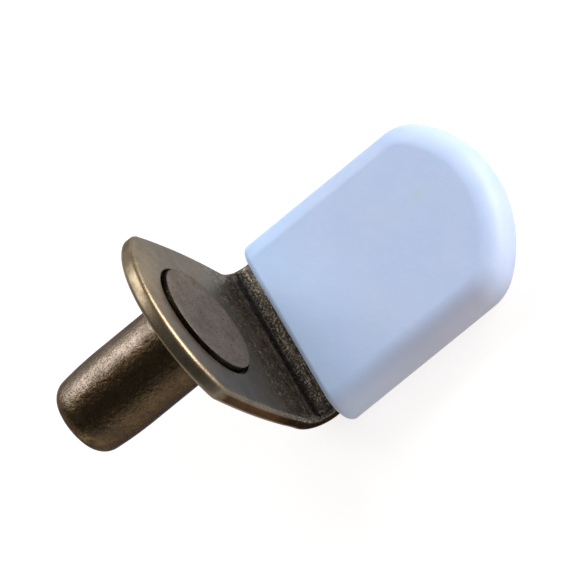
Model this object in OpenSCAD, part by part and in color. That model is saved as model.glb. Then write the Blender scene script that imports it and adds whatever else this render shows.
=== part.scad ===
// Shelf support pin: an angled steel bracket, a headed pin pressed through its flange, and a
// soft moulded sleeve on its leg. The pin goes into a hole in the cabinet's side, and the
// shelf lies on the sleeve.
//
// The origin is on the pin's axis, at the flange's outer face, which lies against the cabinet.
// +Y runs away from the cabinet along the leg, +Z runs up the flange and X runs across.

/* [Pin] */
// Diameter of the pin, which fits the hole in the cabinet's side
pin_d = 6; // [5:0.1:7]
// Reach of the pin past the flange
pin_len = 10.2; // [8:0.1:16]
// Length of the barrelled lead-in, ahead of the rounding round the tip
lead_len = 3.2; // [1:0.1:5]
// How much the lead-in takes off the pin's radius
lead_drop = 0.18; // [0.05:0.01:0.5]
// Radius of the rounding round the tip
tip_r = 1.4; // [0.4:0.1:1.8]
// How much wider its radius is where it is pressed into the flange
press_grow = 0.4; // [0.3:0.05:0.5]

/* [Head] */
// Diameter of the pin's head, which is sunk into the flange's inner face
head_d = 8.2; // [7.8:0.1:10]
// Thickness of the head
head_h = 0.8; // [0.6:0.05:1]
// How far the head stands proud of the flange
head_proud = 0.3; // [0.1:0.05:0.5]
// Radius of the rounding round the head's rim
head_edge_r = 0.22; // [0.05:0.01:0.28]
// Width of the seam between the head and its seat
seam_w = 0.18; // [0.05:0.01:0.4]

/* [Bracket] */
// Thickness of the sheet
sheet_t = 1.2; // [1:0.1:2]
// Width of the leg and of the bend
leg_w = 12.7; // [10:0.1:15]
// Height of the flange's foot above the bend, over which it is as wide as the leg
foot_h = 0.3; // [0.2:0.05:1]
// How far each side of the flange bulges past the foot
flange_bulge = 0.45; // [0.2:0.05:1]
// Radius of the long arc of each side of the flange
side_r = 50; // [40:1:100]
// Height of the flange's top above the pin's axis
flange_top = 6.75; // [6:0.05:9]
// Radius of the arched ends of the flange and of the leg
arch_r = 8; // [7.8:0.1:12]
// Depth of the leg's top face below the pin's axis
leg_drop = 9.1; // [8:0.1:14]
// Reach of the leg from the flange's outer face
leg_len = 19.4; // [15:0.1:26]
// Inner radius of the bend
bend_r = 1.2; // [0.6:0.1:2]
// Radius of the tumbled edges of the sheet
edge_r = 0.4; // [0.05:0.05:0.5]

/* [Sleeve] */
// Wall of the sleeve above and below the leg
face_wall = 1.1; // [0.8:0.1:2]
// Wall of the sleeve beside the leg and round its end
side_wall = 0.95; // [0.8:0.05:2]
// Gap from the end of the bend to the sleeve's mouth
mouth_gap = 0.5; // [0.2:0.1:3]
// Radius of the rounding round the mouth
mouth_r = 0.45; // [0.1:0.05:0.6]

/* [Fits] */
// Clearance round the pin in the flange
pin_fit = 0.03; // [0.01:0.01:0.1]
// Clearance all round the leg in the sleeve
sleeve_fit = 0.05; // [0.02:0.01:0.2]

/* [Hidden] */
$fn = 96;
// Facets in a full turn of the long arcs, of which the part has only a few degrees
long_arc_fn = 480;

brass_color = [0.40, 0.34, 0.25];
sleeve_color = [0.76, 0.82, 0.95];

// Overrun of a cut past the faces that it goes through
over = 1;

pin_r = pin_d / 2;
press_r = pin_r + press_grow;
head_r = head_d / 2;
// The lead-in is an arc that leaves the shank along it, and the tip's rounding meets that arc
lead_r = (pow(lead_drop, 2) + pow(lead_len, 2)) / (2 * lead_drop);
lead_a = asin(lead_len / lead_r);
shank_len = pin_len - lead_len - tip_r * (1 - sin(lead_a));
// Bottom of the head's seat in the flange
seat_y = sheet_t + head_proud - head_h;

// Axis of the bend
bend_y = sheet_t + bend_r;
bend_z = bend_r - leg_drop;

// Centre of the arc of the flange's +X side, which starts at the top of the foot: its place
// across, and its height above the bend
side_x = leg_w / 2 + flange_bulge - side_r;
side_h = foot_h + sqrt(pow(side_r, 2) - pow(side_r - flange_bulge, 2));

// Centres of the arches of the flange and of the leg, whose end the sleeve's follows
flange_arch_z = flange_top - arch_r;
leg_arch_y = leg_len - arch_r;
// Middle of the leg's thickness
leg_z = -leg_drop - sheet_t / 2;

// Sleeve, grown from the leg by its clearance and its walls
side_grow = sleeve_fit + side_wall;
face_grow = sleeve_fit + face_wall;
sleeve_r = sheet_t / 2 + face_grow;
sleeve_core_w = leg_w + 2 * side_grow - 2 * sleeve_r;
mouth_y = bend_y + mouth_gap;

// Turns what was made along Z to lie along Y, with its own Y down
module along_y() {
    rotate([-90, 0, 0]) children();
}

// Section of a sheet from x = 0 to a rounded edge at x = reach, centred on y = 0
module edge_section(reach, h, r) {
    translate([0, -h / 2]) square([reach - r, h]);
    if (h > 2 * r)
        translate([0, r - h / 2]) square([reach, h - 2 * r]);
    for (side = h > 2 * r ? [-1, 1] : [0])
        translate([reach - r, side * (h / 2 - r)])
            intersection() {
                circle(r);
                translate([0, -r]) square(2 * r);
            }
}

// Section of a strip with both of its edges rounded, centred
module strip_section(w, h, r) {
    for (s = [0, 1])
        mirror([s, 0]) edge_section(w / 2, h, r);
}

// Plate h thick and centred on z = 0, from y = 0 to an arched end whose edge is rounded to r.
// The arch is a half disc that is centred on y = arch_y.
module arched_plate(arch_y, end_r, h, r) {
    translate([0, arch_y, 0])
        rotate_extrude(angle = 180) edge_section(end_r, h, r);
    translate([-end_r, 0, -h / 2]) cube([2 * end_r, arch_y, h]);
}

// The leg's straight part from y = y0 to its arched end, with its edges rounded to r, grown
// by side across and at its end, and by face up and down
module leg(y0, r, side = 0, face = 0) {
    w = leg_w + 2 * side;
    h = sheet_t + 2 * face;
    translate([0, y0, leg_z])
        intersection() {
            arched_plate(leg_arch_y - y0, arch_r + side, h, r);
            along_y() linear_extrude(leg_len + side) strip_section(w, h, r);
        }
}

// Strip of sheet, bent once, with the pin's hole and the seat for its head
module bracket() {
    color(brass_color)
        difference() {
            union() {
                flange();
                bend();
                leg(bend_y, edge_r);
            }
            along_y() {
                translate([0, 0, -over])
                    cylinder(r = press_r + pin_fit, h = sheet_t + 2 * over);
                translate([0, 0, seat_y])
                    cylinder(r = head_r + seam_w, h = sheet_t);
            }
        }
}

// Arched upright of the bracket, with bulging sides above its foot
module flange() {
    translate([0, sheet_t / 2, bend_z]) {
        // The foot reaches as far again up into the plate
        linear_extrude(2 * foot_h) strip_section(leg_w, sheet_t, edge_r);
        rotate([90, 0, 0])
            intersection() {
                arched_plate(flange_arch_z - bend_z, arch_r, sheet_t, edge_r);
                flange_side();
                mirror([1, 0, 0]) flange_side();
            }
    }
}

// Disc whose rounded rim is the flange's +X side, drawn flat from y = 0 at the bend
module flange_side() {
    translate([side_x, side_h, 0])
        rotate_extrude($fn = long_arc_fn) edge_section(side_r, sheet_t, edge_r);
}

// Quarter turn from the flange into the leg
module bend() {
    translate([0, bend_y, bend_z])
        rotate([0, 90, 0])
            rotate([0, 0, -90])
                rotate_extrude(angle = 90)
                    translate([bend_r + sheet_t / 2, 0])
                        rotate([0, 0, 90]) strip_section(leg_w, sheet_t, edge_r);
}

// Pin with a lead-in at its tip and a flat head
module pin() {
    color(brass_color)
        along_y() {
            rotate_extrude() tip_section();
            translate([0, 0, -shank_len]) cylinder(r = pin_r, h = shank_len + seat_y / 2);
            cylinder(r = press_r, h = seat_y + head_h / 2);
            translate([0, 0, seat_y]) rotate_extrude() head_section();
        }
}

// Half section of the lead-in and the tip, below the shank
module tip_section() {
    lead_out = [cos(lead_a), -sin(lead_a)];
    lead_end = [pin_r - lead_drop, -shank_len - lead_len];
    tip_c = lead_end - tip_r * lead_out;

    intersection() {
        translate([pin_r - lead_r, -shank_len]) circle(lead_r, $fn = long_arc_fn);
        polygon([
            [0, -shank_len], [pin_r + over, -shank_len],
            lead_end + over * lead_out, tip_c, [0, tip_c[1]]
        ]);
    }
    translate([0, -pin_len]) square([tip_c[0], tip_r]);
    translate(tip_c)
        intersection() {
            circle(tip_r);
            translate([-tip_c[0], -tip_r]) square([tip_c[0] + tip_r, tip_r * (1 + sin(lead_a))]);
        }
}

// Half section of the head, from its underside up to its rounded rim
module head_section() {
    square([head_r, head_h - head_edge_r]);
    square([head_r - head_edge_r, head_h]);
    translate([head_r - head_edge_r, head_h - head_edge_r]) circle(head_edge_r);
}

// Soft sleeve with fully rounded edges and a blind pocket for the leg
module sleeve() {
    color(sleeve_color)
        difference() {
            union() {
                leg(mouth_y + mouth_r, sleeve_r, side_grow, face_grow);
                translate([0, mouth_y, leg_z]) mouth_rim();
            }
            leg(mouth_y - over, edge_r + sleeve_fit, sleeve_fit, sleeve_fit);
        }
}

// Front of the sleeve, where its outer edge is rounded into the mouth
module mouth_rim() {
    for (s = [0, 1])
        mirror([s, 0, 0]) {
            translate([sleeve_core_w / 2, 0, 0])
                along_y() rotate_extrude() rim_section();
            mirror([0, 0, s])
                rotate([90, 0, 90])
                    translate([0, 0, -sleeve_core_w / 2])
                        linear_extrude(sleeve_core_w)
                            rotate([0, 0, 90]) mirror([0, 1]) rim_section();
        }
}

// Half section of the mouth's rim, with the mouth at y = 0
module rim_section() {
    square([sleeve_r - mouth_r, mouth_r]);
    intersection() {
        translate([sleeve_r - mouth_r, mouth_r]) circle(mouth_r);
        square([sleeve_r, mouth_r]);
    }
}

bracket();
pin();
sleeve();
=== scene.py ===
"""Shelf support pin: a bent antique brass bracket, its headed pin and a soft sleeve."""
import logging
import math
from collections.abc import Iterable
from dataclasses import dataclass, field
from enum import Enum

import bmesh
import bpy
from bmesh.types import BMEdge, BMesh, BMFace, BMLayerItem, BMVert
from mathutils import Matrix, Vector


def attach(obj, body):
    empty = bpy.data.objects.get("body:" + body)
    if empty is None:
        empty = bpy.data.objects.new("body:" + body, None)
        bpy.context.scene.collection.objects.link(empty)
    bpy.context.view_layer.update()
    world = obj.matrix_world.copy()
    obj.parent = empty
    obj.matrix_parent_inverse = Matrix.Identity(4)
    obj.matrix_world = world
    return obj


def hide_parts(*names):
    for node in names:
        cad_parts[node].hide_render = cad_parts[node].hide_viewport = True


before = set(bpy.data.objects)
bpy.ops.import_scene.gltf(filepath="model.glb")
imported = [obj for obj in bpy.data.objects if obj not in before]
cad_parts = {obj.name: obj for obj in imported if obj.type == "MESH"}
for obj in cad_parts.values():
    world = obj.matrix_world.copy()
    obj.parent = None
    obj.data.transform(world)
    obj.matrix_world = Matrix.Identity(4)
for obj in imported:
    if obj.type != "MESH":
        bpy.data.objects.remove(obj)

LOG = logging.getLogger("shelf_support_pin")

# Meshes are built in millimetres and scaled to metres at the end.
MM = 0.001
BODY = "root"
# Vertices that are closer than this are one vertex, in millimetres.
MERGE_MM = 0.0002
# A vertex is looked up within this distance of the place where it was put.
FIND_MM = 0.002
# Faces that meet at a wider angle keep a sharp edge between them.
SMOOTH_ANGLE = math.radians(50)
# Attribute of the brass: above 0 it tells how much an edge is rubbed, and it falls below 0
# towards the sheet's cut edge.
WEAR = "wear"

Colour = tuple[float, float, float]
# X and Y in the plane of an outline
Place = tuple[float, float]
# The two values between which a mask goes from one level to another
Span = tuple[float, float]


class Slot(Enum):
    """Material slots of the record."""

    BRASS = "antique_brass"
    SLEEVE = "soft_sleeve"


# -- Mesh helpers --------------------------------------------


@dataclass
class Shape:
    """A mesh in millimetres, with a pen that draws outlines in the XY plane."""

    bm: BMesh = field(init=False, default_factory=bmesh.new)
    pen: BMVert | None = field(init=False, default=None)

    def start(self, x: float, y: float) -> None:
        """Put the pen down at (x, y)."""
        self.pen = bmesh.ops.create_vert(self.bm, co=(x, y, 0.0))["vert"][0]

    def line_to(self, x: float, y: float) -> None:
        """Draw a straight edge to (x, y)."""
        self.pen = bmesh.ops.extrude_vert_indiv(self.bm, verts=[self.pen])["verts"][0]
        self.pen.co = (x, y, 0.0)

    def line(self, start: Place, end: Place, pieces: int) -> None:
        """Draw a straight line in equal edges.

        Args:
            start: Where it starts, which is where the pen is.
            end: Where it ends.
            pieces: Number of edges in it.
        """
        for i in range(1, pieces + 1):
            self.line_to(*(a + (b - a) * i / pieces for a, b in zip(start, end)))

    def arc_to(self, centre: Place, turn: float, steps: int) -> None:
        """Draw an arc.

        Args:
            centre: Its centre.
            turn: Its angle, anticlockwise as seen from +Z.
            steps: Number of straight edges in it.
        """
        last = bmesh.ops.spin(
            self.bm,
            geom=[self.pen],
            cent=(*centre, 0.0),
            axis=(0.0, 0.0, 1.0),
            angle=turn,
            steps=steps,
            use_duplicate=False,
        )["geom_last"]
        self.pen = next(g for g in last if isinstance(g, BMVert))

    def fill_mirrored(self) -> BMFace:
        """Mirror the half outline on +X and fill the whole.

        Returns:
            The one face that fills it.
        """
        geom = [*self.bm.verts, *self.bm.edges]
        bmesh.ops.mirror(self.bm, geom=geom, axis="X", merge_dist=MERGE_MM)
        self.merge(MERGE_MM)
        return bmesh.ops.contextual_create(self.bm, geom=self.bm.edges[:])["faces"][0]

    def merge(self, distance: float) -> None:
        """Merge vertices that are closer than a distance."""
        bmesh.ops.remove_doubles(self.bm, verts=self.bm.verts[:], dist=distance)

    def lift(self, height: float, verts: list[BMVert] | None = None) -> None:
        """Move vertices, or else the whole mesh, along Z."""
        bmesh.ops.translate(self.bm, vec=(0, 0, height), verts=verts or self.bm.verts[:])

    def thicken(self, thickness: float) -> list[BMFace]:
        """Extrude a flat mesh upwards, and keep its own faces as the lower side.

        Args:
            thickness: How far it is extruded.

        Returns:
            The faces of the upper side.
        """
        geom = self.bm.faces[:]
        made = bmesh.ops.extrude_face_region(self.bm, geom=geom, use_keep_orig=True)["geom"]
        self.lift(thickness, [g for g in made if isinstance(g, BMVert)])
        return [g for g in made if isinstance(g, BMFace)]

    def round_off(
        self,
        geom: Iterable[BMEdge | BMVert],
        radius: float,
        segments: int,
        affect: str = "EDGES",
    ) -> list[BMVert]:
        """Round edges, or the corners of a flat face.

        Args:
            geom: The edges or vertices to round.
            radius: Radius of the rounding where faces meet squarely.
            segments: Faces across the rounding.
            affect: EDGES or VERTICES.

        Returns:
            The vertices of the rounding.
        """
        made = bmesh.ops.bevel(
            self.bm,
            geom=list(geom),
            offset=radius,
            offset_type="OFFSET",
            segments=segments,
            profile=0.5,
            affect=affect,
            clamp_overlap=False,
            material=-1,
        )
        return made["verts"]

    def open_at(self, *faces: BMFace) -> None:
        """Take faces away, and leave their edges."""
        bmesh.ops.delete(self.bm, geom=list(faces), context="FACES_ONLY")

    def face_outwards(self) -> None:
        """Make all faces point outwards."""
        bmesh.ops.recalc_face_normals(self.bm, faces=self.bm.faces[:])

    def first_face(self) -> BMFace:
        """Find the face that lies furthest along -Y."""
        return min(self.bm.faces, key=lambda f: f.calc_center_median().y)

    def dress(
        self, name: str, node: str, slot: Slot, material: bpy.types.Material
    ) -> bpy.types.Object:
        """Turn the mesh into a dressed piece that stands for a solid.

        Args:
            name: Name of the piece.
            node: The solid that it replaces.
            slot: The record's slot for its finish; it is not used.
            material: Its finish.

        Returns:
            The piece.
        """
        bm = self.bm
        bmesh.ops.scale(bm, vec=(MM, MM, MM), verts=bm.verts[:])
        for edge in bm.edges:
            edge.smooth = edge.is_manifold and edge.calc_face_angle(0.0) < SMOOTH_ANGLE
        for face in bm.faces:
            face.smooth = True
        mesh = bpy.data.meshes.new(name)
        bm.to_mesh(mesh)
        bm.free()
        mesh.materials.append(material)
        piece = bpy.data.objects.new(name, mesh)
        bpy.context.scene.collection.objects.link(piece)
        shading = piece.modifiers.new("even_shading", "WEIGHTED_NORMAL")
        shading.keep_sharp = True
        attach(piece, BODY)
        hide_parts(node)
        return piece


# -- Node helpers --------------------------------------------

# The Mix node's colour inputs and output come after those of its other types.
MIX_FIRST = 6
MIX_SECOND = 7
MIX_RESULT = 2


@dataclass(frozen=True)
class Noise:
    """Settings of a noise.

    Attributes:
        scale: Lumps per millimetre.
        detail: Number of finer octaves.
        roughness: Strength of the finer octaves.
        distortion: How much the pattern is warped.
    """

    scale: float
    detail: float = 3.0
    roughness: float = 0.6
    distortion: float = 0.0


@dataclass(frozen=True)
class Signal:
    """A node's output. Arithmetic with it adds Math nodes."""

    nodes: "NodeTree"
    socket: bpy.types.NodeSocket

    def __add__(self, other: "Value") -> "Signal":
        """Add a number."""
        return self.nodes.math("ADD", self, other)

    def __sub__(self, other: "Value") -> "Signal":
        """Take a number away."""
        return self.nodes.math("SUBTRACT", self, other)

    def __rsub__(self, other: float) -> "Signal":
        """Take this away from a number."""
        return self.nodes.math("SUBTRACT", other, self)

    def __mul__(self, other: "Value") -> "Signal":
        """Multiply by a number."""
        return self.nodes.math("MULTIPLY", self, other)

    def most(self, other: "Signal") -> "Signal":
        """Take the larger of two."""
        return self.nodes.math("MAXIMUM", self, other)

    def least(self, other: "Signal") -> "Signal":
        """Take the smaller of two."""
        return self.nodes.math("MINIMUM", self, other)

    def mask(self, span: Span, levels: Span = (0.0, 1.0)) -> "Signal":
        """Go smoothly from one level to another, and stay at each beyond the span.

        Args:
            span: The two values between which it goes.
            levels: The levels at the span's first value and at its second.

        Returns:
            The level.
        """
        low, high = levels if span[0] <= span[1] else levels[::-1]
        inputs = {
            "Value": self,
            "From Min": min(span),
            "From Max": max(span),
            "To Min": low,
            "To Max": high,
        }
        return self.nodes.add("MapRange", inputs, interpolation_type="SMOOTHSTEP")


# What goes into a node's input
Value = Signal | float | tuple[float, ...]


class NodeTree:
    """The nodes of a material or of the world, with short calls that add and link them."""

    def __init__(self, owner: bpy.types.Material | bpy.types.World) -> None:
        """Clear the owner's nodes.

        Args:
            owner: The material or world.
        """
        owner.use_nodes = True
        self.owner = owner
        self.tree = owner.node_tree
        self.tree.nodes.clear()

    def node(
        self, kind: str, inputs: dict[str | int, Value] | None = None, **settings: str
    ) -> bpy.types.Node:
        """Add a shader node.

        Args:
            kind: Its type, without the ShaderNode that they all start with.
            inputs: What goes into its inputs, by name or number.
            **settings: Its other settings.

        Returns:
            The node.
        """
        node = self.tree.nodes.new(f"ShaderNode{kind}")
        for name, setting in settings.items():
            setattr(node, name, setting)
        for key, value in (inputs or {}).items():
            into = node.inputs[key]
            if isinstance(value, Signal):
                self.tree.links.new(value.socket, into)
            elif into.type == "RGBA":
                into.default_value = (*value, 1.0)
            else:
                into.default_value = value
        return node

    def add(
        self,
        kind: str,
        inputs: dict[str | int, Value] | None = None,
        output: str | int = 0,
        **settings: str,
    ) -> Signal:
        """Add a shader node and give one of its outputs."""
        return Signal(self, self.node(kind, inputs, **settings).outputs[output])

    def math(self, operation: str, a: Value, b: Value = 0.0) -> Signal:
        """Add a Math node with an operation on one or two numbers."""
        return self.add("Math", {0: a, 1: b}, operation=operation)

    def background_rays(self) -> Signal:
        """Be 1 for the rays that see the background, and 0 for those that carry its light.

        Returns:
            That number.
        """
        camera, glossy, through = (
            self.add("LightPath", output=f"Is {kind} Ray")
            for kind in ("Camera", "Glossy", "Transmission")
        )
        return camera.most(glossy).most(through)

    def surface(self, shader: Signal) -> None:
        """Link a shader to a new output node."""
        world = isinstance(self.owner, bpy.types.World)
        self.node("OutputWorld" if world else "OutputMaterial", {"Surface": shader})


class FinishTree(NodeTree):
    """A new material, with its place on the object in millimetres."""

    def __init__(self, name: str) -> None:
        """Start a material and its coordinates.

        Args:
            name: Name of the material.
        """
        super().__init__(bpy.data.materials.new(name))
        metres = self.add("TexCoord", output="Object")
        self.position = self.add("VectorMath", {0: metres, "Scale": 1 / MM}, operation="SCALE")
        parts = self.node("SeparateXYZ", {0: self.position}).outputs
        self.x, self.y, self.z = (Signal(self, part) for part in parts)

    def noise(self, noise: Noise, stretch: tuple[float, float, float] | None = None) -> Signal:
        """Add a noise texture.

        Args:
            noise: Its settings.
            stretch: How much finer it is along each axis.

        Returns:
            The noise's value, about 0.5 on average.
        """
        inputs = {
            "Scale": noise.scale,
            "Detail": noise.detail,
            "Roughness": noise.roughness,
            "Distortion": noise.distortion,
            "Vector": self.position,
        }
        if stretch:
            inputs["Vector"] = self.add("Mapping", {"Scale": stretch, "Vector": self.position})
        return self.add("TexNoise", inputs)

    def wander(self, scale: float, reach: float) -> Signal:
        """Add a noise that wanders about 0, for uneven borders.

        Args:
            scale: Lumps per millimetre.
            reach: Distance from the noise's lowest to its highest value.

        Returns:
            The noise's value.
        """
        return (self.noise(Noise(scale)) - 0.5) * reach

    def distance(self, a: Signal, b: Signal) -> Signal:
        """Give the length of a way with two parts at right angles."""
        return self.math("SQRT", a * a + b * b)

    def blend(self, amount: Signal, first: Value, second: Value) -> Signal:
        """Blend two colours, where an amount of 0 gives the first and 1 the second."""
        inputs = {"Factor": amount, MIX_FIRST: first, MIX_SECOND: second}
        return self.add("Mix", inputs, MIX_RESULT, data_type="RGBA")

    def bumps(self, *layers: tuple[Signal, float]) -> Signal:
        """Lay bumps over one another.

        Args:
            *layers: Height of each bump, and the depth in millimetres of a height of 1.

        Returns:
            The bumped normal.
        """
        inputs: dict[str, Value] = {"Strength": 1.0}
        for height, depth in layers:
            inputs |= {"Height": height, "Distance": depth * MM}
            inputs["Normal"] = self.add("Bump", inputs)
        return inputs["Normal"]

    def shade(self, inputs: dict[str, Value]) -> bpy.types.Material:
        """Finish the material with a Principled shader and give it."""
        self.surface(self.add("BsdfPrincipled", inputs))
        return self.owner


# -- Finishes ------------------------------------------------


@dataclass(frozen=True)
class AntiqueBrass:
    """Brass plating that is darkened with a patina, rubbed on its edges and lacquered.

    Places and depths are in millimetres. A span belongs to the mask that it is named after.

    Attributes:
        bright: Colour of the rubbed metal.
        body: Colour of the plating where it is neither rubbed nor dark.
        dark: Colour of the patina.
        edge_tint: Tint of what the metal reflects at a grazing angle.
        lacquer: Weight of the clear coat.
        pits: How dark the patina's pits are.
        glints: How bright the small rubbed specks are.
        cut_edge: Colour of the sheet's cut edge, which has no lacquer.
        speckle: Pattern of the pits and of the specks.
        clouds: Pattern of the patina away from the bend.
        cover: How much of the plating those clouds cover.
        rub_break: How much the speckle breaks up the rubbed edges.
        rub_cover: How bright the rubbed edges get.
        dull_rough: Roughness that patina and rubbing add.
    """

    name: str
    bright: Colour
    body: Colour
    dark: Colour
    edge_tint: Colour
    lacquer: float
    rough: float
    pits: float
    glints: float
    pebbles: Noise
    pebble_depth: float
    grain_depth: float
    pit_depth: float
    cut_edge: Colour = (0.27, 0.222, 0.155)
    cut_span: Span = (-0.05, -0.5)
    speckle: Noise = Noise(9.0, 2.0)
    pit_span: Span = (0.44, 0.32)
    glint_span: Span = (0.58, 0.70)
    grain: Noise = Noise(22.0, 2.0, 0.5)
    clouds: Noise = Noise(0.7, 4.0)
    cloud_span: Span = (0.35, 0.7)
    cover: float = 0.45
    rub_span: Span = (0.5, 1.3)
    rub_break: float = 0.5
    rub_cover: float = 0.9
    grain_rough: float = 0.16
    dull_rough: float = 0.12
    lacquer_rough: float = 0.3

    def make(self) -> bpy.types.Material:
        """Build the material.

        Returns:
            The material.
        """
        t = FinishTree(self.name)
        worn = t.add("Attribute", output="Fac", attribute_name=WEAR)
        speckle = t.noise(self.speckle)
        grain = t.noise(self.grain)
        cut = worn.mask(self.cut_span)
        plated = 1.0 - cut
        patina = self.patina(t, speckle)
        rubbed = (worn + speckle * self.rub_break).mask(self.rub_span) * self.rub_cover
        colour = t.blend(cut, self.plating(t), self.sheared(t))
        colour = t.blend(patina, colour, self.dark)
        colour = t.blend(self.glint(t, speckle) * plated, colour, self.bright)
        colour = t.blend(rubbed, colour, self.bright)
        rough = grain * self.grain_rough + self.smoothest(t)
        normal = t.bumps(
            (self.relief(t), self.pebble_depth),
            (speckle, self.pit_depth),
            (grain, self.grain_depth),
        )
        return t.shade(
            {
                "Base Color": colour,
                "Metallic": 1.0,
                "Specular Tint": self.edge_tint,
                "Roughness": rough + patina * self.dull_rough + rubbed * self.dull_rough,
                "Normal": normal,
                "Coat Weight": plated * self.lacquer,
                "Coat Roughness": self.lacquer_rough,
                "Coat Normal": normal,
            }
        )

    def plating(self, t: FinishTree) -> Value:
        """Give the colour of the clean plating."""
        return self.body

    def sheared(self, t: FinishTree) -> Value:
        """Give the colour of the cut edge."""
        return self.cut_edge

    def smoothest(self, t: FinishTree) -> Value:
        """Give the lowest roughness."""
        return self.rough

    def patina(self, t: FinishTree, speckle: Signal) -> Signal:
        """Spread the patina in soft clouds and in the speckle's pits."""
        clouds = t.noise(self.clouds).mask(self.cloud_span) * self.cover
        return clouds.most(speckle.mask(self.pit_span) * self.pits)

    def glint(self, t: FinishTree, speckle: Signal) -> Signal:
        """Give the share of bright metal, in small rubbed specks."""
        return speckle.mask(self.glint_span) * self.glints

    def relief(self, t: FinishTree) -> Signal:
        """Give the height of the pebbled surface."""
        return t.noise(self.pebbles)

    @staticmethod
    def radius(t: FinishTree) -> Signal:
        """Give the distance from the pin's axis."""
        return t.distance(t.x, t.z)


@dataclass(frozen=True)
class Stripe:
    """A wavy stripe across the bend, in millimetres.

    Attributes:
        y: Its place along the leg.
        z: Its height.
        span: Distances from it at which its mask starts and is full.
        cover: How much it covers.
    """

    y: float
    z: float
    span: Span
    cover: float


@dataclass(frozen=True)
class SheetBrass(AntiqueBrass):
    """The bracket's brass, with a thick patina and streaks in the bend, and painted shade in
    its crease.

    Attributes:
        warm: Colour of the plating near the flange's top.
        low_edge: Colour of the cut edge along the flange's sides.
        bend_cover: How much of the bend the patina covers.
        worn_spots: Pattern of the spots where that patina is thinner.
        spot_wear: How much thinner it is there.
        shoulder: The clean stripe beside the crease.
        drawn_lines: Pattern of the lines along the bend.
        line_stretch: How much finer those lines are along each axis.
        line_height: Height of the lines, where the pebbles have 1.
        rubbed_bend: How bright streaks and crumbs get.
        middle: Middle of the sheet's thickness, in Y on the flange and in Z on the leg.
    """

    name: str = "antique_brass_sheet"
    bright: Colour = (0.74, 0.675, 0.55)
    body: Colour = (0.15, 0.12, 0.085)
    dark: Colour = (0.024, 0.018, 0.013)
    edge_tint: Colour = (0.40, 0.38, 0.36)
    lacquer: float = 0.5
    rough: float = 0.3
    pits: float = 0.5
    glints: float = 0.16
    pebbles: Noise = Noise(5.0)
    pebble_depth: float = 0.006
    grain_depth: float = 0.003
    pit_depth: float = 0.003
    warm: Colour = (0.265, 0.200, 0.120)
    warm_span: Span = (1.0, 5.5)
    low_edge: Colour = (0.10, 0.06, 0.036)
    low_edge_span: Span = (3.4, 2.2)
    bend_span: Span = (-3.6, -6.2)
    bend_cover: float = 0.97
    worn_spots: Noise = Noise(3.2, 4.0, 0.65, 0.8)
    spot_span: Span = (0.48, 0.66)
    spot_wear: float = 0.40
    seam_shade_span: Span = (4.42, 4.32)
    crease: Stripe = Stripe(1.65, -8.83, (0.18, 0.06), 0.9)
    shoulder: Stripe = Stripe(1.42, -8.55, (0.55, 0.15), 0.75)
    drawn_lines: Noise = Noise(1.0)
    line_stretch: tuple[float, float, float] = (0.35, 7.0, 7.0)
    line_height: float = 2.5
    streak_span: Span = (0.52, 0.70)
    streak_share: float = 0.45
    crumbs: Noise = Noise(7.0, distortion=0.2)
    crumb_span: Span = (0.53, 0.62)
    rubbed_bend: float = 0.33
    middle: tuple[float, float] = (0.6, -9.7)
    inner_span: Span = (-0.15, 0.25)

    def patina(self, t: FinishTree, speckle: Signal) -> Signal:
        """Thicken the patina towards the bend, and fill the crease and the seam with the
        patina's colour as painted shade.

        Args:
            t: The material's nodes.
            speckle: The noise of the pits.

        Returns:
            The patina's cover.
        """
        spots = t.noise(self.worn_spots).mask(self.spot_span) * self.spot_wear
        thick = self.in_bend(t) * (self.bend_cover - spots)
        # Painted shade: the seam round the pin's head, over dark patina, and the pressed crease
        # get the patina's dark colour.
        seam = self.radius(t).mask(self.seam_shade_span) * self.inside(t)
        narrow = self.on_stripe(t, self.crease).most(seam)
        return super().patina(t, speckle).most(thick).most(narrow)

    def plating(self, t: FinishTree) -> Value:
        """Warm the plating towards the flange's top."""
        high = (t.z + t.wander(scale=0.5, reach=4.0)).mask(self.warm_span)
        return t.blend(high, self.body, self.warm)

    def sheared(self, t: FinishTree) -> Value:
        """Brown the cut edge along the flange's sides, below its arch."""
        low = (t.z + t.wander(scale=1.2, reach=1.5)).mask(self.low_edge_span)
        return t.blend(low, self.cut_edge, self.low_edge)

    def glint(self, t: FinishTree, speckle: Signal) -> Signal:
        """Add crumbs and streaks on the bend's inner side to the small specks.

        Args:
            t: The material's nodes.
            speckle: The noise of the specks.

        Returns:
            The share of bright metal.
        """
        streaks = self.lines(t).mask(self.streak_span) * self.streak_share
        crumbs = t.noise(self.crumbs).mask(self.crumb_span)
        more = (streaks + crumbs) * self.in_bend(t) * self.inside(t)
        clean = self.on_stripe(t, self.crease).most(self.on_stripe(t, self.shoulder))
        return super().glint(t, speckle) + more * (1.0 - clean) * self.rubbed_bend

    def relief(self, t: FinishTree) -> Signal:
        """Add drawn lines in the bend to the pebbled surface."""
        return super().relief(t) + self.lines(t) * self.in_bend(t) * self.line_height

    def lines(self, t: FinishTree) -> Signal:
        """Give a noise that is stretched along the bend."""
        return t.noise(self.drawn_lines, self.line_stretch)

    def in_bend(self, t: FinishTree) -> Signal:
        """Rise to 1 from the flange's lower part towards the bend and the leg."""
        uneven = t.z + t.wander(scale=1.2, reach=2.0) + t.wander(scale=4.0, reach=2.0)
        return uneven.mask(self.bend_span)

    def inside(self, t: FinishTree) -> Signal:
        """Be 1 on the bracket's inner side, above the leg and behind the head."""
        flange_y, leg_z = self.middle
        return (t.y - flange_y).least(t.z - leg_z).mask(self.inner_span)

    def on_stripe(self, t: FinishTree, stripe: Stripe) -> Signal:
        """Rise from 0 to the stripe's cover towards a stripe."""
        aside = t.y - stripe.y + t.wander(scale=2.0, reach=0.12)
        return t.distance(aside, t.z - stripe.z).mask(stripe.span) * stripe.cover


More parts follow.
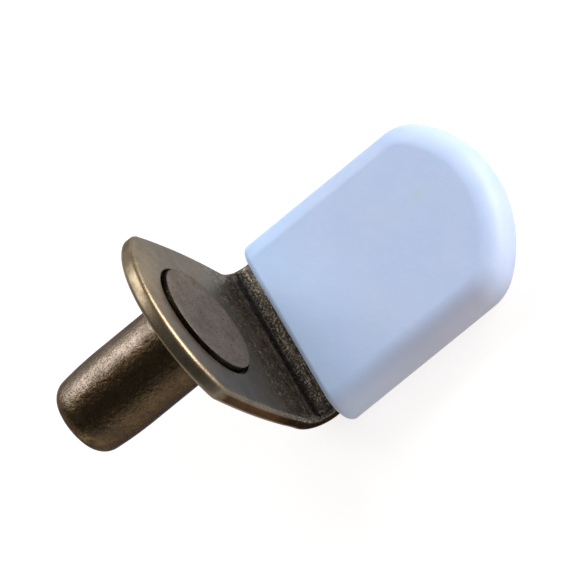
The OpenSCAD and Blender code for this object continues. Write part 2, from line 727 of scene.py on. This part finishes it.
@dataclass(frozen=True)
class PinBrass(AntiqueBrass):
    """The pin's brass: its shank is brown, and paler along its -X side as a painted highlight
    towards the overhead lamp.

    Attributes:
        lit_side_shank: Colour of the shank's -X side, a painted highlight towards the overhead
            lamp.
        lit_side_turn: Where that painted highlight ends, as a turn from the top towards +X.
        lit_side_span: Distances past that place, between which the painted highlight starts.
        shaded_side_smudge_span: Distances past the painted highlight's end, for the smudges,
            which are patchy patina kept to the +X side as painted shade.
        shaded_underside_span: Heights between which the painted shade on the shank's underside
            starts.
        tip: Colour of the worn tip.
        head_wall_shade: Near-black colour of the head's side wall in the seam, painted shade
            over dark patina.
        wall_span: Distances from the axis between which the head's side wall starts.
        head_rough: Roughness that the head has more.
        head_flat: How much of the pebbles the head has less.
    """

    name: str = "antique_brass_pin"
    bright: Colour = (0.78, 0.66, 0.43)
    body: Colour = (0.22, 0.19, 0.168)
    dark: Colour = (0.035, 0.027, 0.017)
    edge_tint: Colour = (0.22, 0.18, 0.14)
    lacquer: float = 0.15
    rough: float = 0.25
    pits: float = 0.95
    glints: float = 0.10
    pebbles: Noise = Noise(3.2)
    pebble_depth: float = 0.065
    grain_depth: float = 0.004
    pit_depth: float = 0.020
    shank: Colour = (0.098, 0.060, 0.028)
    lit_side_shank: Colour = (0.21, 0.172, 0.143)
    lit_side_turn: float = math.radians(-2)
    lit_side_span: Span = (0.3, -0.3)
    end_span: Span = (-10.1, -9.3)
    smudges: Noise = Noise(1.6, 4.0, 0.65)
    smudge_span: Span = (0.45, 0.65)
    smudge_cover: float = 0.5
    shaded_side_smudge_span: Span = (-0.9, 0.3)
    shaded_underside_span: Span = (0.1, -0.9)
    shaded_underside_cover: float = 0.8
    tip: Colour = (0.19, 0.138, 0.066)
    tip_span: Span = (-8.3, -9.6)
    tip_patches: Noise = Noise(1.1)
    patch_span: Span = (0.38, 0.58)
    patch_cover: float = 0.7
    head_wall_shade: Colour = (0.008, 0.006, 0.004)
    wall_span: Span = (4.01, 4.07)
    head_span: Span = (0.0, 0.6)
    head_rough: float = 0.14
    head_flat: float = 0.75

    def plating(self, t: FinishTree) -> Value:
        """Blend the colours of the shank, of its tip and of the head.

        Args:
            t: The material's nodes.

        Returns:
            The colour.
        """
        # Painted highlight: the shank is paler on its -X side, which faces the overhead lamp,
        # and this fades out at the tip's end.
        aside = t.x * math.cos(self.lit_side_turn) - t.z * math.sin(self.lit_side_turn)
        aside = aside + t.wander(scale=1.5, reach=0.6)
        rubbed = aside.mask(self.lit_side_span) * t.y.mask(self.end_span)
        # Dark smudges: patchy patina, kept to the +X side away from the overhead lamp as
        # painted shade.
        smudge = t.noise(self.smudges).mask(self.smudge_span) * self.smudge_cover
        smudge = smudge * aside.mask(self.shaded_side_smudge_span)
        # Painted shade: the shank takes the patina's dark colour on its underside.
        shaded_underside = (t.z + t.wander(scale=1.2, reach=0.8)).mask(self.shaded_underside_span)
        rounding = (t.y + t.wander(scale=1.0, reach=1.6)).mask(self.tip_span)
        patches = rounding * t.noise(self.tip_patches).mask(self.patch_span)
        shank = t.blend(rubbed, self.shank, self.lit_side_shank)
        shank = t.blend(smudge.most(shaded_underside * self.shaded_underside_cover), shank, self.dark)
        shank = t.blend(patches * self.patch_cover, shank, self.tip)
        # Painted shade: the head's side wall in the seam is near-black, over its dark patina.
        head = t.blend(self.radius(t).mask(self.wall_span), self.body, self.head_wall_shade)
        return t.blend(self.on_head(t), shank, head)

    def smoothest(self, t: FinishTree) -> Value:
        """Roughen the head."""
        return t.math("ADD", self.rough, self.on_head(t) * self.head_rough)

    def relief(self, t: FinishTree) -> Signal:
        """Flatten the pebbles on the head."""
        return super().relief(t) * (1.0 - self.on_head(t) * self.head_flat)

    def on_head(self, t: FinishTree) -> Signal:
        """Rise to 1 from the shank to the head."""
        return t.y.mask(self.head_span)


@dataclass(frozen=True)
class SoftPlastic:
    """Matt, slightly translucent soft plastic with a moulded grain.

    Places and depths are in millimetres. A span belongs to the mask that it is named after.

    Attributes:
        tint: Colour of the faint mottling.
        mouth: Colour near the mouth, paler and bluer as painted light where the flange shades
            the sleeve.
        stain: Colour of a small faint stain on the upper face.
        stain_place: Where the stain is, across and along.
        top_span: Heights between which the upper face starts.
        scatter: Share of the light that goes through the surface.
        scatter_reach: How far its red, green and blue go, as shares of scatter_depth.
    """

    name: str = "bluish_white_plastic"
    colour: Colour = (0.43, 0.56, 0.82)
    tint: Colour = (0.455, 0.575, 0.82)
    mottle: Noise = Noise(0.35, 3.0, 0.55)
    mottle_span: Span = (0.35, 0.65)
    mouth: Colour = (0.45, 0.62, 0.92)
    mouth_light_span: Span = (11.0, 4.0)
    stain: Colour = (0.45, 0.56, 0.62)
    stain_place: tuple[float, float] = (-1.6, 15.6)
    stain_span: Span = (0.7, 0.1)
    stain_cover: float = 0.5
    top_span: Span = (-9.0, -8.5)
    rough: float = 0.48
    scatter: float = 0.25
    scatter_reach: tuple[float, float, float] = (0.9, 1.0, 1.3)
    scatter_depth: float = 0.5
    waves: Noise = Noise(0.5, 2.0, 0.5)
    wave_depth: float = 0.03
    grain: Noise = Noise(9.0)
    grain_depth: float = 0.010

    def make(self) -> bpy.types.Material:
        """Build the material.

        Returns:
            The material.
        """
        t = FinishTree(self.name)
        mottled = t.noise(self.mottle).mask(self.mottle_span)
        # Painted light: the sleeve is paler and bluer towards the mouth, where the flange
        # shades it.
        mouth_painted_light = (t.y + t.wander(scale=0.3, reach=4.0)).mask(self.mouth_light_span)
        colour = t.blend(mottled, self.colour, self.tint)
        colour = t.blend(mouth_painted_light, colour, self.mouth)
        colour = t.blend(self.stained(t), colour, self.stain)
        normal = t.bumps(
            (t.noise(self.waves), self.wave_depth),
            (t.noise(self.grain), self.grain_depth),
        )
        return t.shade(
            {
                "Base Color": colour,
                "Roughness": self.rough,
                "Subsurface Weight": self.scatter,
                "Subsurface Radius": self.scatter_reach,
                "Subsurface Scale": self.scatter_depth * MM,
                "Normal": normal,
            }
        )

    def stained(self, t: FinishTree) -> Signal:
        """Mark the small stain on the upper face.

        Args:
            t: The material's nodes.

        Returns:
            The stain's cover.
        """
        x, y = self.stain_place
        away = t.distance(t.x - x, t.y - y) + t.wander(scale=2.0, reach=0.4)
        return away.mask(self.stain_span) * self.stain_cover * t.z.mask(self.top_span)


# -- Sub-assemblies ------------------------------------------


@dataclass
class Pin(Shape):
    """A turned pin with a lead-in, a rounded tip and a flat head. Sizes in millimetres."""

    finish: PinBrass = PinBrass()
    radius: float = 3.0
    press_radius: float = 3.4
    reach: float = 10.2
    lead_length: float = 3.2
    lead_drop: float = 0.18
    tip_radius: float = 1.4
    seat: float = 0.7
    head_radius: float = 4.1
    head_height: float = 0.8
    head_edge: float = 0.10
    head_wear: float = 0.05
    turns: int = 96

    def profile(self) -> None:
        """Draw the half section, with X from the axis and Y along it."""
        lead_radius = (self.lead_drop**2 + self.lead_length**2) / (2 * self.lead_drop)
        lead = math.asin(self.lead_length / lead_radius)
        shank = self.reach - self.lead_length - self.tip_radius * (1 - math.sin(lead))
        tip_x = self.radius - self.lead_drop - self.tip_radius * math.cos(lead)
        head_top = self.seat + self.head_height
        edge_x, edge_y = self.head_radius - self.head_edge, head_top - self.head_edge
        self.start(0, -self.reach)
        self.line((0, -self.reach), (tip_x, -self.reach), pieces=4)
        self.arc_to((tip_x, self.tip_radius - self.reach), math.pi / 2 - lead, steps=10)
        self.arc_to((self.radius - lead_radius, -shank), lead, steps=8)
        self.line((self.radius, -shank), (self.radius, 0), pieces=8)
        self.line_to(self.press_radius, 0)
        self.line_to(self.press_radius, self.seat)
        self.line_to(self.head_radius, self.seat)
        self.line_to(self.head_radius, edge_y)
        self.arc_to((edge_x, edge_y), math.pi / 2, steps=5)
        self.line((edge_x, head_top), (0, head_top), pieces=6)

    def build(self) -> bpy.types.Object:
        """Build the pin and dress it.

        Returns:
            The piece.
        """
        self.profile()
        bmesh.ops.spin(
            self.bm,
            geom=[*self.bm.verts, *self.bm.edges],
            cent=(0, 0, 0),
            axis=(0, 1, 0),
            angle=math.tau,
            steps=self.turns,
            use_merge=True,
            use_duplicate=False,
        )
        self.merge(MERGE_MM)
        self.face_outwards()
        layer = self.bm.verts.layers.float.new(WEAR)
        rim = self.head_radius - self.head_edge - FIND_MM
        for v in self.bm.verts:
            if v.co.y > self.seat and math.hypot(v.co.x, v.co.z) > rim:
                v[layer] = self.head_wear
        return self.dress("pin_stud", "pin", Slot.BRASS, self.finish.make())


@dataclass
class Bracket(Shape):
    """One strip of sheet with an arched flange and a leg, bent through a right angle.

    It is drawn flat, with X across, Y down from the flange's top along the sheet and Z
    from the outer face to the inner one. Sizes are in millimetres and turns in radians.
    """

    pin: Pin
    finish: SheetBrass = SheetBrass()
    sheet: float = 1.2
    leg_width: float = 12.7
    foot: float = 0.3
    bulge: float = 0.45
    side_radius: float = 50.0
    flange_top: float = 6.75
    arch_radius: float = 8.0
    leg_drop: float = 9.1
    leg_length: float = 19.4
    bend_radius: float = 1.2
    inner_edge: float = 0.4
    outer_edge: float = 0.36
    corner: float = 0.3
    seam: float = 0.18
    pin_fit: float = 0.03
    seat_edge: float = 0.07
    bend_steps: int = 16
    leg_rows: int = 6
    leg_row: float = 2.0
    foot_cuts: int = 19
    flange_margin: float = 0.5
    crease_turn: float = math.radians(50)
    crease_width: float = math.radians(7)
    crease_depth: float = 0.045
    inner_wear: float = 0.38
    outer_wear: float = 0.4
    cut_wear: float = -0.6

    @property
    def middle_radius(self) -> float:
        """Radius of the bend in the middle of the sheet."""
        return self.bend_radius + self.sheet / 2

    @property
    def bend_y(self) -> float:
        """Place along the leg where the bend ends."""
        return self.sheet + self.bend_radius

    @property
    def bend_start(self) -> float:
        """Place along the flat sheet where the bend starts."""
        return self.flange_top + self.leg_drop - self.bend_radius

    @property
    def bend_end(self) -> float:
        """Place along the flat sheet where the bend ends."""
        return self.bend_start + self.middle_radius * math.pi / 2

    @property
    def foot_start(self) -> float:
        """Place along the flat sheet where the flange's foot starts."""
        return self.bend_start - self.foot

    @property
    def seat_radius(self) -> float:
        """Radius of the seat for the pin's head."""
        return self.pin.head_radius + self.seam

    @property
    def side_centre(self) -> Place:
        """Centre of the arc of the flange's +X side, in the flat sheet."""
        rise = math.sqrt(self.side_radius**2 - (self.side_radius - self.bulge) ** 2)
        return self.leg_width / 2 + self.bulge - self.side_radius, self.foot_start - rise

    def flange_corner(self) -> Place:
        """Find where the flange's arch meets its +X side.

        Returns:
            Its place in the flat sheet, across and along.
        """
        arch = Vector((0, self.arch_radius))
        way = Vector(self.side_centre) - arch
        gap = way.length
        along = (self.arch_radius**2 - self.side_radius**2 + gap**2) / (2 * gap)
        aside = math.sqrt(self.arch_radius**2 - along**2)
        unit = way / gap
        corner = arch + along * unit + aside * Vector((-unit.y, unit.x))
        return corner.x, corner.y

    def outline(self) -> None:
        """Draw the flat sheet's outline and fill it."""
        half = self.leg_width / 2
        side_y = self.side_centre[1]
        corner_x, corner_y = self.flange_corner()
        leg_arch_y = self.leg_length - self.arch_radius - self.bend_y + self.bend_end
        leg_side = leg_arch_y + math.sqrt(self.arch_radius**2 - half**2)
        side_turn = math.asin((side_y - corner_y) / self.side_radius)
        side_turn += math.asin((self.foot_start - side_y) / self.side_radius)
        self.start(0, 0)
        self.arc_to((0, self.arch_radius), math.asin(corner_x / self.arch_radius), steps=14)
        self.arc_to(self.side_centre, side_turn, steps=17)
        self.line_to(half, self.bend_start)
        self.line_to(half, self.bend_end)
        self.line_to(half, leg_side)
        self.arc_to((0, leg_arch_y), math.asin(half / self.arch_radius), steps=20)
        face = self.fill_mirrored()
        corners = [v for v in face.verts if abs(v.co.y - corner_y) < FIND_MM]
        self.round_off(corners, self.corner, segments=4, affect="VERTICES")

    def cut_rows(self) -> None:
        """Cut rows across the sheet, close together in the bend."""
        step = (self.bend_end - self.bend_start) / self.bend_steps
        rows = [self.foot_start]
        rows += [self.bend_start + i * step for i in range(self.bend_steps + 1)]
        rows += [self.bend_end + i * self.leg_row for i in range(1, self.leg_rows + 1)]
        for row in rows:
            bmesh.ops.bisect_plane(
                self.bm,
                geom=[*self.bm.verts, *self.bm.edges, *self.bm.faces],
                plane_co=(0, row, 0),
                plane_no=(0, 1, 0),
                dist=MERGE_MM,
            )

    def seat_outline(self) -> BMFace:
        """Give the flange a round face where the pin's head is seated.

        Returns:
            That face, on the flat sheet.
        """
        at_foot = {v for v in self.bm.verts if abs(v.co.y - self.foot_start) < MERGE_MM}
        across = [e for e in self.bm.edges if at_foot.issuperset(e.verts)]
        bmesh.ops.subdivide_edges(self.bm, edges=across, cuts=self.foot_cuts)
        flange = self.first_face()
        bmesh.ops.inset_region(
            self.bm,
            faces=[flange],
            thickness=self.flange_margin,
            use_even_offset=True,
            use_boundary=True,
        )
        centre = Vector((0, self.flange_top, 0))
        top = Vector((0, -self.seat_radius, 0))
        ring = [loop.vert for loop in flange.loops]
        first = ring.index(min(ring, key=lambda v: v.co.y))
        turn = math.copysign(math.tau / len(ring), flange.normal.z)
        for i, v in enumerate(ring[first:] + ring[:first]):
            v.co = centre + Matrix.Rotation(i * turn, 3, "Z") @ top
        return flange

    def bore(self, seat: BMFace) -> None:
        """Thicken the flat sheet and sink the seat and the pin's hole into it.

        Args:
            seat: The flat sheet's round face.
        """
        top = self.thicken(self.sheet)
        sunk = next(f for f in top if len(f.verts) == len(seat.verts))
        rim = list(sunk.edges)
        self.face_outwards()
        depth = self.pin.seat - self.sheet
        bmesh.ops.inset_region(self.bm, faces=[sunk], thickness=0.0, depth=depth)
        ledge = self.seat_radius - self.pin.press_radius - self.pin_fit
        for face in (sunk, seat):
            bmesh.ops.inset_region(self.bm, faces=[face], thickness=ledge, use_even_offset=True)
        edges = [*sunk.edges, *seat.edges]
        self.open_at(sunk, seat)
        bmesh.ops.bridge_loops(self.bm, edges=edges)
        self.round_off(rim, self.seat_edge, segments=2)

    def tumble(self) -> None:
        """Round the outline's edges on both sides, and mark them as rubbed."""
        layer = self.bm.verts.layers.float.new(WEAR)
        rim = [e for e in self.bm.edges if self.on_rim(e)]
        inner = [e for e in rim if min(v.co.z for v in e.verts) > self.sheet / 2]
        outer = [e for e in rim if max(v.co.z for v in e.verts) < self.sheet / 2]
        inner_verts = self.round_off(inner, self.inner_edge, segments=4)
        outer = [e for e in outer if e.is_valid]
        outer_verts = self.round_off(outer, self.outer_edge, segments=3)
        self.mark_wear(layer, inner_verts, self.sheet, self.inner_edge, self.inner_wear)
        self.mark_wear(layer, outer_verts, 0.0, self.outer_edge, self.outer_wear)

    def on_rim(self, edge: BMEdge) -> bool:
        """Tell whether an edge of the flat sheet is sharp and on its outline.

        Args:
            edge: The edge.

        Returns:
            True for the outline's edges, and False for those of the seat.
        """
        if not edge.is_manifold or edge.calc_face_angle(0.0) <= SMOOTH_ANGLE:
            return False
        middle = (edge.verts[0].co + edge.verts[1].co) / 2
        away = math.hypot(middle.x, middle.y - self.flange_top)
        return away > self.seat_radius + self.seat_edge + MERGE_MM

    def mark_wear(
        self, layer: BMLayerItem, verts: list[BMVert], face_z: float, radius: float, most: float
    ) -> None:
        """Mark a rounded edge as rubbed, most of all along its middle, and its end as cut.

        Args:
            layer: The layer that holds the wear.
            verts: Vertices of the rounding.
            face_z: Height of the flat face that the rounding leaves.
            radius: Radius of the rounding.
            most: Wear along its middle.
        """
        for v in verts:
            drop = min(abs(v.co.z - face_z) / radius, 1.0)
            across = math.acos(1 - drop) / (math.pi / 2)
            cut = self.cut_wear * max(2 * across - 1, 0.0)
            v[layer] = max(most * math.sin(math.pi * across), 0.0) + cut

    def bend(self) -> None:
        """Bend the flat sheet and stand it where the bracket is."""
        axis_z = self.bend_radius - self.leg_drop
        for v in self.bm.verts:
            x, s, h = v.co
            turn = (s - self.bend_start) / self.middle_radius
            turn = min(max(turn, 0.0), math.pi / 2)
            pressed = ((turn - self.crease_turn) / self.crease_width) ** 2
            sunk = self.crease_depth * math.exp(-pressed) * h / self.sheet
            reach = self.bend_y - h + sunk
            y = self.bend_y - reach * math.cos(turn) + max(s - self.bend_end, 0.0)
            z = axis_z - reach * math.sin(turn) - min(s - self.bend_start, 0.0)
            v.co = (x, y, z)

    def build(self) -> bpy.types.Object:
        """Build the bracket and dress it.

        Returns:
            The piece.
        """
        self.outline()
        self.cut_rows()
        self.bore(self.seat_outline())
        self.tumble()
        self.bend()
        self.face_outwards()
        return self.dress("bracket_sheet", "bracket", Slot.BRASS, self.finish.make())


@dataclass
class ArchedSlab(Shape):
    """A flat slab with an arched far end, centred on Z = 0. Sizes in millimetres.

    Its corners beside the arch are rounded in plan, and then its long edges are rounded.
    """

    half_width: float
    start_y: float
    arch_y: float
    arch_radius: float
    corner: float
    thickness: float
    edge: float
    segments: int

    def outline(self) -> None:
        """Draw the slab's outline and fill it."""
        corner_x = self.half_width - self.corner
        rise = math.sqrt((self.arch_radius - self.corner) ** 2 - corner_x**2)
        corner_y = self.arch_y + rise
        turn = math.atan2(corner_x, rise)
        self.start(0, self.arch_y + self.arch_radius)
        self.arc_to((0, self.arch_y), -turn, steps=20)
        self.arc_to((corner_x, corner_y), turn - math.pi / 2, steps=10)
        self.line((self.half_width, corner_y), (self.half_width, self.start_y), pieces=10)
        self.line_to(0, self.start_y)
        self.fill_mirrored()

    def build(self) -> None:
        """Build the slab."""
        self.outline()
        self.thicken(self.thickness)
        self.lift(-self.thickness / 2)
        self.face_outwards()
        # The outline's last vertex leaves an upright edge in the middle of the slab's start.
        starts = self.start_y + MERGE_MM
        middle = {v for v in self.bm.verts if v.co.y < starts and abs(v.co.x) < MERGE_MM}
        upright = [e for e in self.bm.edges if middle.issuperset(e.verts)]
        bmesh.ops.dissolve_edges(self.bm, edges=upright, use_verts=True, use_face_split=False)
        edges = [
            e
            for e in self.bm.edges
            if abs(e.verts[0].co.z - e.verts[1].co.z) < MERGE_MM
            and max(v.co.y for v in e.verts) > starts
        ]
        self.round_off(edges, self.edge, self.segments)

    def take_in(self, inner: "ArchedSlab") -> None:
        """Make another slab a hollow, where both are open at their start.

        Args:
            inner: The slab that is the hollow, which is freed.
        """
        bmesh.ops.reverse_faces(inner.bm, faces=inner.bm.faces[:])
        mesh = bpy.data.meshes.new("hollow")
        inner.bm.to_mesh(mesh)
        inner.bm.free()
        self.bm.from_mesh(mesh)
        bpy.data.meshes.remove(mesh)
        mouth = [e for e in self.bm.edges if e.is_boundary]
        bmesh.ops.triangle_fill(
            self.bm, use_beauty=True, use_dissolve=False, edges=mouth, normal=(0, -1, 0)
        )


@dataclass
class Sleeve:
    """The soft sleeve on the leg, with a blind pocket. Sizes in millimetres.

    Its sides are rounded all the way round but for a narrow crest, whose vertices are
    merged before the mouth is rounded.
    """

    bracket: Bracket
    finish: SoftPlastic = SoftPlastic()
    mouth_gap: float = 0.5
    face_wall: float = 1.1
    side_wall: float = 0.95
    fit: float = 0.05
    corner: float = 3.4
    pocket_corner: float = 0.6
    mouth_edge: float = 0.45
    crest: float = 0.004
    crest_merge: float = 0.005

    def slab(
        self, side: float, face: float, corner: float, edge: float, segments: int
    ) -> ArchedSlab:
        """Build the leg's slab, grown to an outer shape or a pocket.

        Args:
            side: How much it is grown sideways and at its end.
            face: How much it is grown up and down.
            corner: Plan radius of its corners.
            edge: Radius of the rounding of its long edges.
            segments: Faces across that rounding.

        Returns:
            The slab.
        """
        leg = self.bracket
        slab = ArchedSlab(
            half_width=leg.leg_width / 2 + side,
            start_y=leg.bend_y + self.mouth_gap,
            arch_y=leg.leg_length - leg.arch_radius,
            arch_radius=leg.arch_radius + side,
            corner=corner,
            thickness=leg.sheet + 2 * face,
            edge=edge,
            segments=segments,
        )
        slab.build()
        return slab

    def build(self) -> bpy.types.Object:
        """Build the sleeve and dress it.

        Returns:
            The piece.
        """
        side = self.side_wall + self.fit
        face = self.face_wall + self.fit
        full = self.bracket.sheet / 2 + face - self.crest / 2
        sleeve = self.slab(side, face, self.corner, full, segments=12)
        sleeve.merge(self.crest_merge)
        sleeve.round_off(sleeve.first_face().edges[:], self.mouth_edge, segments=5)
        sleeve.open_at(sleeve.first_face())
        edge = self.bracket.inner_edge + self.fit
        pocket = self.slab(self.fit, self.fit, self.pocket_corner, edge, segments=3)
        pocket.open_at(pocket.first_face())
        sleeve.take_in(pocket)
        sleeve.lift(-self.bracket.leg_drop - self.bracket.sheet / 2)
        return sleeve.dress("soft_sleeve", "sleeve", Slot.SLEEVE, self.finish.make())


# -- Stage, light and camera ---------------------------------

# The camera's axes and the point that it looks at, in the part's frame
TO_CAMERA = Vector((0.4524, 0.2890, 0.8437)).normalized()
IMAGE_RIGHT = Vector((0.4511, 0.7418, -0.4961)).normalized()
IMAGE_UP = TO_CAMERA.cross(IMAGE_RIGHT)
TARGET = Vector((-0.075, 5.99, -3.96)) * MM


@dataclass(frozen=True)
class Lamp:
    """A soft rectangular lamp that faces the object. Lengths in metres.

    Attributes:
        towards: Direction from the object to the lamp.
        width: Its level side.
        height: Its other side.
        radiance: How bright the lamp itself looks, where 1 is a white surface.
        mirrored: Whether it shows in reflections.
    """

    name: str
    towards: tuple[float, float, float]
    width: float
    height: float
    radiance: float
    colour: Colour
    mirrored: bool = True
    distance: float = 0.5

    def make(self) -> None:
        """Hang the lamp."""
        data = bpy.data.lights.new(self.name, "AREA")
        data.shape = "RECTANGLE"
        data.size = self.width
        data.size_y = self.height
        data.color = self.colour
        data.energy = self.radiance * math.pi * self.width * self.height
        way = Vector(self.towards).normalized()
        lamp = bpy.data.objects.new(self.name, data)
        lamp.matrix_world = Matrix.LocRotScale(
            TARGET + way * self.distance, way.to_track_quat("Z", "Y"), None
        )
        lamp.visible_glossy = self.mirrored
        bpy.context.scene.collection.objects.link(lamp)


@dataclass
class Studio:
    """Pale floor, world, lamps and camera, in metres.

    Attributes:
        floor_z: Height of the floor, a little below the sleeve's underside.
        floor_glow: Light that the floor adds where it is seen, which whitens it.
        world_level: Strength of the world's light.
        ceiling_level: How bright the world looks overhead in reflections.
        ceiling_rise: Sine of the angle above the horizon from which it is that dim.
        focal: Focal length, in millimetres.
        sensor: Width of the sensor, in millimetres.
        clip: Distances between which the camera sees.
    """

    floor_z: float = -11.48 * MM
    floor_half: float = 1.5
    floor_colour: Colour = (0.38, 0.38, 0.38)
    floor_glow: float = 0.76
    world_level: float = 0.20
    world_colour: Colour = (0.80, 0.97, 1.20)
    ceiling_level: float = 0.12
    ceiling_rise: float = 0.20
    focal: float = 856.7
    sensor: float = 36.0
    distance: float = 0.9
    clip: tuple[float, float] = (0.05, 20.0)
    lamps: tuple[Lamp, ...] = (
        Lamp("overhead", (-0.764, -0.22, 0.606), 0.40, 0.27, 5.9, (1.0, 0.97, 0.93)),
        Lamp("key", (-0.08, 0.97, 0.12), 0.52, 0.30, 11.6, (1.0, 0.92, 0.85)),
        Lamp("side", (0.95, -0.1, 0.12), 0.45, 0.45, 3.1, (1.0, 0.58, 0.27), mirrored=False),
    )

    def build_floor(self) -> None:
        """Lay the floor under the sleeve."""
        bm = bmesh.new()
        bmesh.ops.create_grid(bm, x_segments=1, y_segments=1, size=self.floor_half)
        bmesh.ops.translate(bm, vec=(0, 0, self.floor_z), verts=bm.verts[:])
        mesh = bpy.data.meshes.new("floor")
        bm.to_mesh(mesh)
        bm.free()
        floor = bpy.data.objects.new("floor", mesh)
        bpy.context.scene.collection.objects.link(floor)
        mesh.materials.append(self.floor_material())

    def floor_material(self) -> bpy.types.Material:
        """Build the floor's pale finish, which glows where it is seen.

        Returns:
            The material.
        """
        material = bpy.data.materials.new("pale_floor")
        t = NodeTree(material)
        glow = t.add("Emission", {"Strength": t.background_rays() * self.floor_glow})
        diffuse = t.add("BsdfDiffuse", {"Color": self.floor_colour})
        t.surface(t.add("AddShader", {0: diffuse, 1: glow}))
        return material

    def build_world(self) -> None:
        """Make the world white where it is seen and softer where it lights."""
        world = bpy.data.worlds.new("studio")
        bpy.context.scene.world = world
        t = NodeTree(world)
        light = {"Color": self.world_colour, "Strength": self.world_level}
        seen = {"Color": self.ceiling(t), "Strength": 1.0}
        mix = {
            0: t.background_rays(),
            1: t.add("Background", light),
            2: t.add("Background", seen),
        }
        t.surface(t.add("MixShader", mix))

    def ceiling(self, t: NodeTree) -> Signal:
        """Be 1 for the camera and at the horizon, and dim overhead in reflections.

        Args:
            t: The world's nodes.

        Returns:
            The level of grey.
        """
        way = t.add("TexCoord", output="Generated")
        rise = t.add("SeparateXYZ", {0: way}, "Z")
        level = rise.mask((0.0, self.ceiling_rise), (1.0, self.ceiling_level))
        return level.most(t.add("LightPath", output="Is Camera Ray"))

    def build_camera(self) -> None:
        """Stand the camera."""
        data = bpy.data.cameras.new("camera")
        data.lens = self.focal
        data.sensor_width = self.sensor
        data.clip_start, data.clip_end = self.clip
        camera = bpy.data.objects.new("camera", data)
        turn = Matrix((IMAGE_RIGHT, IMAGE_UP, TO_CAMERA)).transposed().to_4x4()
        camera.matrix_world = Matrix.Translation(TARGET + TO_CAMERA * self.distance) @ turn
        bpy.context.scene.collection.objects.link(camera)
        bpy.context.scene.camera = camera

    def build(self) -> None:
        """Build the whole studio."""
        self.build_camera()
        self.build_floor()
        self.build_world()
        for lamp in self.lamps:
            lamp.make()
        bpy.context.scene.view_settings.view_transform = "Standard"


def main() -> None:
    """Build the studio and the pieces."""
    logging.basicConfig(level=logging.INFO, format="%(name)s: %(message)s")
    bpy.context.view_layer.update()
    Studio().build()
    pin = Pin()
    bracket = Bracket(pin)
    for builder in (bracket, pin, Sleeve(bracket)):
        piece = builder.build()
        LOG.info("%s has %d faces", piece.name, len(piece.data.polygons))


if __name__ == "__main__":
    main()
